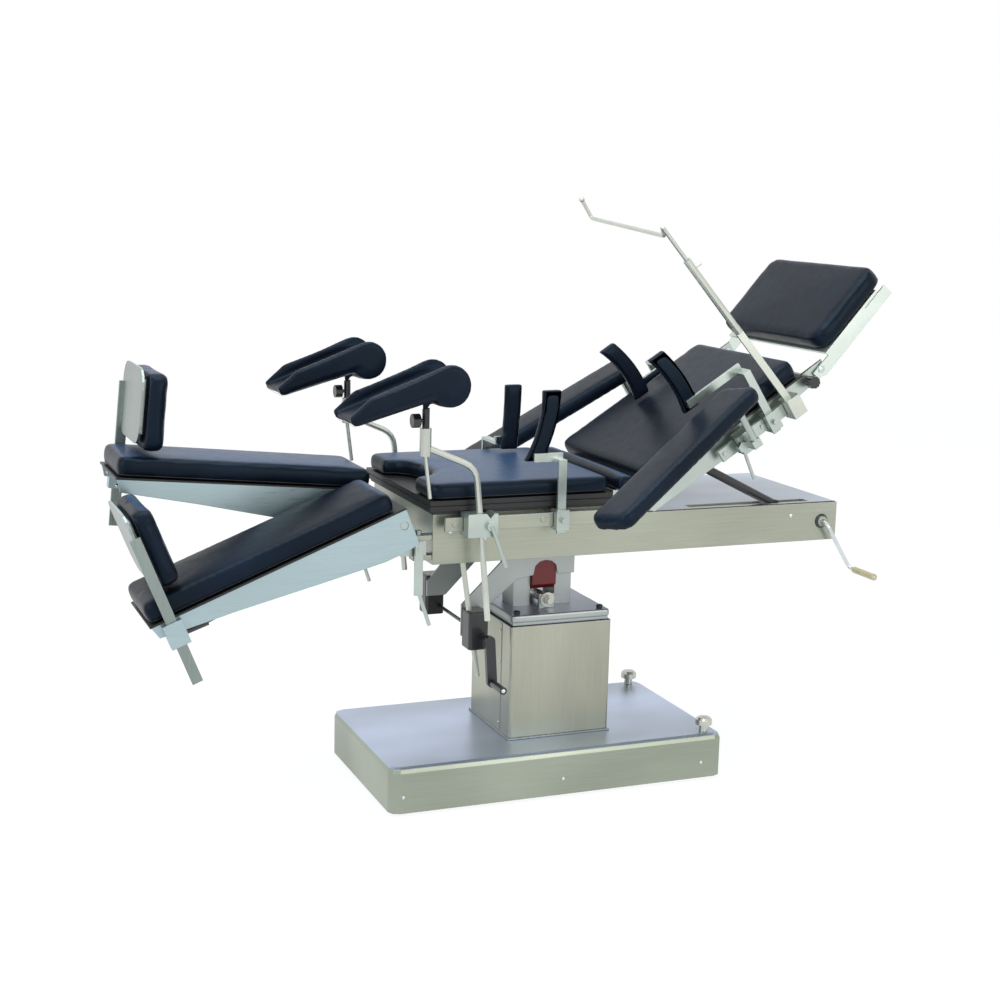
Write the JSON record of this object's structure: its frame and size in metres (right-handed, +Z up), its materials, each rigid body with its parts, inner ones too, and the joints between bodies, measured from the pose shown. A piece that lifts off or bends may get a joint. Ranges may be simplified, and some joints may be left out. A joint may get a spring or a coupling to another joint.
{
  "type": "electric operating table",
  "caption": "Operating table on a lifting column with tilting bed in padded leg, seat, back and head sections, arm boards, leg supports, side supports and a screen bar.",
  "frame": {"origin": "on the floor under the axis of the lifting column", "axes": "+Z up, +X along the table towards the head end, +Y across it to the far side"},
  "size_m": [2.0333, 1.0665, 1.5346],
  "materials": {
    "steel": "satin",
    "pale_steel": "satin",
    "chrome": "polished",
    "cast_steel": "satin",
    "upholstery": "satin",
    "black_plastic": "matte",
    "ivory_metal": "satin",
    "ivory_plastic": "gloss",
    "red_metal": "satin"
  },
  "bodies": {
    "stand": {"base_cover": "steel", "base_chassis": "cast_steel", "column_sleeve": "pale_steel"},
    "levelling_knob_near": {"levelling_knob_near": "chrome"},
    "levelling_knob_far": {"levelling_knob_far": "chrome"},
    "column": {"column_cover": "steel", "column_lid": "pale_steel"},
    "tilt_worm": {"tilt_worm": "chrome"},
    "cradle": {"tilt_cradle": "pale_steel", "tilt_sector": "red_metal", "gearbox_near": "cast_steel", "gearbox_far": "cast_steel"},
    "crank_left": {"crank_left": "cast_steel"},
    "crank_left_grip": {"crank_left_grip": "black_plastic"},
    "lead_screw": {"lead_screw": "ivory_metal"},
    "beam": {"beam": "steel", "seat_board": "black_plastic", "seat_cushion": "upholstery"},
    "crank_right": {"crank_right": "chrome"},
    "crank_right_grip": {"crank_right_grip": "ivory_plastic"},
    "lumbar_bridge": {"kidney_lift": "pale_steel", "kidney_pad": "upholstery"},
    "back_section": {"back_frame": "pale_steel", "back_cushion": "upholstery"},
    "back_strut": {"back_strut": "cast_steel"},
    "head_section": {"head_frame": "pale_steel", "head_cushion": "upholstery"},
    "head_lock_knob": {"head_lock_knob": "black_plastic"},
    "screen_post": {"screen_post": "ivory_metal"},
    "screen_rod": {"screen_rod": "ivory_metal"},
    "leg_bracket_near": {"leg_bracket_near": "pale_steel"},
    "leg_section_near": {"leg_tray_near": "steel", "leg_cushion_near": "upholstery"},
    "gas_tube_near": {"gas_tube_near": "cast_steel"},
    "gas_rod_near": {"gas_rod_near": "chrome"},
    "leg_release_lever_near": {"leg_release_lever_near": "black_plastic"},
    "footboard_near": {"footboard_frame_near": "steel", "footboard_pad_near": "upholstery"},
    "leg_support_clamp_near": {"leg_support_clamp_near": "pale_steel"},
    "leg_support_rod_near": {"leg_support_rod_near": "ivory_metal"},
    "leg_support_pad_near": {"leg_support_pad_near": "upholstery"},
    "armboard_bracket_near": {"armboard_bracket_near": "pale_steel"},
    "armboard_near": {"armboard_near": "upholstery"},
    "side_support_seat_near": {"side_support_seat_near": "upholstery"},
    "side_support_back_near": {"side_support_back_near": "upholstery"},
    "leg_bracket_far": {"leg_bracket_far": "pale_steel"},
    "leg_section_far": {"leg_tray_far": "steel", "leg_cushion_far": "upholstery"},
    "gas_tube_far": {"gas_tube_far": "cast_steel"},
    "gas_rod_far": {"gas_rod_far": "chrome"},
    "leg_release_lever_far": {"leg_release_lever_far": "black_plastic"},
    "footboard_far": {"footboard_frame_far": "steel", "footboard_pad_far": "upholstery"},
    "leg_support_clamp_far": {"leg_support_clamp_far": "pale_steel"},
    "leg_support_rod_far": {"leg_support_rod_far": "ivory_metal"},
    "leg_support_pad_far": {"leg_support_pad_far": "upholstery"},
    "armboard_bracket_far": {"armboard_bracket_far": "pale_steel"},
    "armboard_far": {"armboard_far": "upholstery"},
    "side_support_seat_far": {"side_support_seat_far": "upholstery"},
    "side_support_back_far": {"side_support_back_far": "upholstery"}
  },
  "joints": [
    {"name": "levelling_knob_near_turn", "type": "hinge", "parent": "stand", "child": "levelling_knob_near", "pos_m": [0.388, -0.228, 0.15], "axis": [0, 0, 1], "continuous": true},
    {"name": "levelling_knob_far_turn", "type": "hinge", "parent": "stand", "child": "levelling_knob_far", "pos_m": [0.388, 0.228, 0.15], "axis": [0, 0, 1], "continuous": true},
    {"name": "column_lift", "type": "slide", "parent": "stand", "child": "column", "axis": [0, 0, 1], "range_m": [0, 0.24]},
    {"name": "lateral_tilt", "type": "hinge", "parent": "column", "child": "cradle", "pos_m": [-0.015, 0, 0.5745], "axis": [1, 0, 0], "range_deg": [-18, 18]},
    {"name": "tilt_worm_turn", "type": "hinge", "parent": "column", "child": "tilt_worm", "pos_m": [-0.015, 0, 0.4845], "axis": [0, 1, 0], "continuous": true},
    {"name": "table_pitch", "type": "hinge", "parent": "cradle", "child": "beam", "pos_m": [-0.015, 0, 0.6895], "axis": [0, -1, 0], "range_deg": [-15, 15]},
    {"name": "crank_left_turn", "type": "hinge", "parent": "cradle", "child": "crank_left", "pos_m": [-0.213, 0, 0.4115], "axis": [0, 1, 0], "continuous": true},
    {"name": "crank_left_grip_turn", "type": "hinge", "parent": "crank_left", "child": "crank_left_grip", "pos_m": [-0.205, -0.215, 0.2995], "axis": [0, 1, 0], "continuous": true},
    {"name": "lead_screw_lift", "type": "slide", "parent": "cradle", "child": "lead_screw", "axis": [-0.1513, 0, 0.9885], "range_m": [-0.075, 0.075]},
    {"name": "crank_right_turn", "type": "hinge", "parent": "beam", "child": "crank_right", "pos_m": [0.716, -0.25, 0.69], "axis": [0, 1, 0], "continuous": true},
    {"name": "crank_right_grip_turn", "type": "hinge", "parent": "crank_right", "child": "crank_right_grip", "pos_m": [0.799, -0.3, 0.56], "axis": [0, 1, 0], "continuous": true},
    {"name": "lumbar_lift", "type": "slide", "parent": "beam", "child": "lumbar_bridge", "axis": [0, 0, -1], "range_m": [-0.09, 0]},
    {"name": "back_pitch", "type": "hinge", "parent": "beam", "child": "back_section", "pos_m": [0.15, 0, 0.79], "axis": [0, -1, 0], "range_deg": [-33, 25]},
    {"name": "back_strut_turn", "type": "hinge", "parent": "back_section", "child": "back_strut", "pos_m": [0.32925, -0.19, 0.86467], "axis": [0, -1, 0], "range_deg": [-46, 58]},
    {"name": "head_pitch", "type": "hinge", "parent": "back_section", "child": "head_section", "pos_m": [0.67441, 0, 1.10432], "axis": [0, -1, 0], "range_deg": [-76, 29]},
    {"name": "head_lock_knob_turn", "type": "hinge", "parent": "back_section", "child": "head_lock_knob", "pos_m": [0.64019, -0.265, 1.07256], "axis": [0, 1, 0], "continuous": true},
    {"name": "leg_swing_near", "type": "hinge", "parent": "beam", "child": "leg_bracket_near", "pos_m": [-0.43, -0.215, 0.745], "axis": [0, 0, 1], "range_deg": [0, 35]},
    {"name": "leg_pitch_near", "type": "hinge", "parent": "leg_bracket_near", "child": "leg_section_near", "pos_m": [-0.48, -0.137, 0.745], "axis": [0, 1, 0], "range_deg": [-58, 37]},
    {"name": "gas_tube_turn_near", "type": "hinge", "parent": "leg_section_near", "child": "gas_tube_near", "pos_m": [-0.79735, -0.137, 0.6362], "axis": [0, -1, 0], "range_deg": [-4, 4]},
    {"name": "gas_rod_slide_near", "type": "slide", "parent": "gas_tube_near", "child": "gas_rod_near", "axis": [0.9779, 0, 0.2093], "range_m": [-0.056, 0.03]},
    {"name": "leg_release_lever_turn_near", "type": "hinge", "parent": "leg_section_near", "child": "leg_release_lever_near", "pos_m": [-0.86656, -0.205, 0.56725], "axis": [0, -1, 0], "range_deg": [0, 8], "stiffness_Nm_per_rad": 3, "springref_deg": -6.88},
    {"name": "footboard_slide_near", "type": "slide", "parent": "leg_section_near", "child": "footboard_near", "axis": [-0.3746, 0, 0.9272], "range_m": [0, 0.1]},
    {"name": "leg_support_clamp_slide_near", "type": "slide", "parent": "beam", "child": "leg_support_clamp_near", "axis": [1, 0, 0], "range_m": [-0.03, 0.1]},
    {"name": "leg_support_rod_slide_near", "type": "slide", "parent": "leg_support_clamp_near", "child": "leg_support_rod_near", "axis": [-0.0993, 0, 0.9951], "range_m": [-0.06, 0.12]},
    {"name": "leg_support_pad_turn_near", "type": "hinge", "parent": "leg_support_rod_near", "child": "leg_support_pad_near", "pos_m": [-0.44217, -0.292, 1], "axis": [0, 0, 1], "range_deg": [-90, 90]},
    {"name": "armboard_bracket_slide_near", "type": "slide", "parent": "back_section", "child": "armboard_bracket_near", "axis": [0.8387, 0, 0.5446], "range_m": [-0.04, 0.03]},
    {"name": "armboard_swing_near", "type": "hinge", "parent": "armboard_bracket_near", "child": "armboard_near", "pos_m": [0.37966, -0.335, 1.02022], "axis": [-0.5446, 0, 0.8387], "range_deg": [-7, 73]},
    {"name": "side_support_seat_slide_near", "type": "slide", "parent": "beam", "child": "side_support_seat_near", "axis": [1, 0, 0], "range_m": [-0.06, 0.09]},
    {"name": "side_support_back_slide_near", "type": "slide", "parent": "back_section", "child": "side_support_back_near", "axis": [0.8387, 0, 0.5446], "range_m": [-0.03, 0.015]},
    {"name": "leg_swing_far", "type": "hinge", "parent": "beam", "child": "leg_bracket_far", "pos_m": [-0.43, 0.215, 0.745], "axis": [0, 0, -1], "range_deg": [0, 35]},
    {"name": "leg_pitch_far", "type": "hinge", "parent": "leg_bracket_far", "child": "leg_section_far", "pos_m": [-0.48, 0.137, 0.745], "axis": [0, 1, 0], "range_deg": [-85.2, 9.8]},
    {"name": "gas_tube_turn_far", "type": "hinge", "parent": "leg_section_far", "child": "gas_tube_far", "pos_m": [-0.81199, 0.137, 0.79329], "axis": [0, -1, 0], "range_deg": [-4, 4]},
    {"name": "gas_rod_slide_far", "type": "slide", "parent": "gas_tube_far", "child": "gas_rod_far", "axis": [0.9681, 0, -0.2504], "range_m": [-0.056, 0.03]},
    {"name": "leg_release_lever_turn_far", "type": "hinge", "parent": "leg_section_far", "child": "leg_release_lever_far", "pos_m": [-0.90506, 0.205, 0.7636], "axis": [0, -1, 0], "range_deg": [0, 8], "stiffness_Nm_per_rad": 3, "springref_deg": -6.88},
    {"name": "footboard_slide_far", "type": "slide", "parent": "leg_section_far", "child": "footboard_far", "axis": [0.0906, 0, 0.9959], "range_m": [0, 0.1]},
    {"name": "leg_support_clamp_slide_far", "type": "slide", "parent": "beam", "child": "leg_support_clamp_far", "axis": [1, 0, 0], "range_m": [-0.03, 0.1]},
    {"name": "leg_support_rod_slide_far", "type": "slide", "parent": "leg_support_clamp_far", "child": "leg_support_rod_far", "axis": [-0.0993, 0, 0.9951], "range_m": [-0.06, 0.12]},
    {"name": "leg_support_pad_turn_far", "type": "hinge", "parent": "leg_support_rod_far", "child": "leg_support_pad_far", "pos_m": [-0.46017, 0.292, 1], "axis": [0, 0, 1], "range_deg": [-90, 90]},
    {"name": "armboard_bracket_slide_far", "type": "slide", "parent": "back_section", "child": "armboard_bracket_far", "axis": [0.8387, 0, 0.5446], "range_m": [-0.04, 0.03]},
    {"name": "armboard_swing_far", "type": "hinge", "parent": "armboard_bracket_far", "child": "armboard_far", "pos_m": [0.37966, 0.335, 1.02022], "axis": [0.5446, 0, -0.8387], "range_deg": [-4, 76]},
    {"name": "side_support_seat_slide_far", "type": "slide", "parent": "beam", "child": "side_support_seat_far", "axis": [1, 0, 0], "range_m": [-0.06, 0.09]},
    {"name": "side_support_back_slide_far", "type": "slide", "parent": "back_section", "child": "side_support_back_far", "axis": [0.8387, 0, 0.5446], "range_m": [-0.03, 0.015]},
    {"name": "screen_post_slide", "type": "slide", "parent": "back_section", "child": "screen_post", "axis": [0.8387, 0, 0.5446], "range_m": [-0.01, 0.01]},
    {"name": "screen_rod_slide", "type": "slide", "parent": "screen_post", "child": "screen_rod", "axis": [-0.6626, 0, 0.749], "range_m": [0, 0.08]}
  ],
  "couplings": [
    {"joint": "tilt_worm_turn", "follows": "lateral_tilt", "ratio": 30},
    {"joint": "crank_left_turn", "follows": "table_pitch", "ratio": 96},
    {"joint": "lead_screw_lift", "follows": "table_pitch", "m_per_rad": -0.2575},
    {"joint": "crank_right_turn", "follows": "back_pitch", "ratio": 40},
    {"joint": "back_strut_turn", "follows": "back_pitch", "ratio": -1.67},
    {"joint": "gas_tube_turn_near", "follows": "leg_pitch_near", "ratio": 0.03},
    {"joint": "gas_rod_slide_near", "follows": "leg_pitch_near", "m_per_rad": 0.0344},
    {"joint": "gas_tube_turn_far", "follows": "leg_pitch_far", "ratio": 0.03},
    {"joint": "gas_rod_slide_far", "follows": "leg_pitch_far", "m_per_rad": 0.0344}
  ]
}
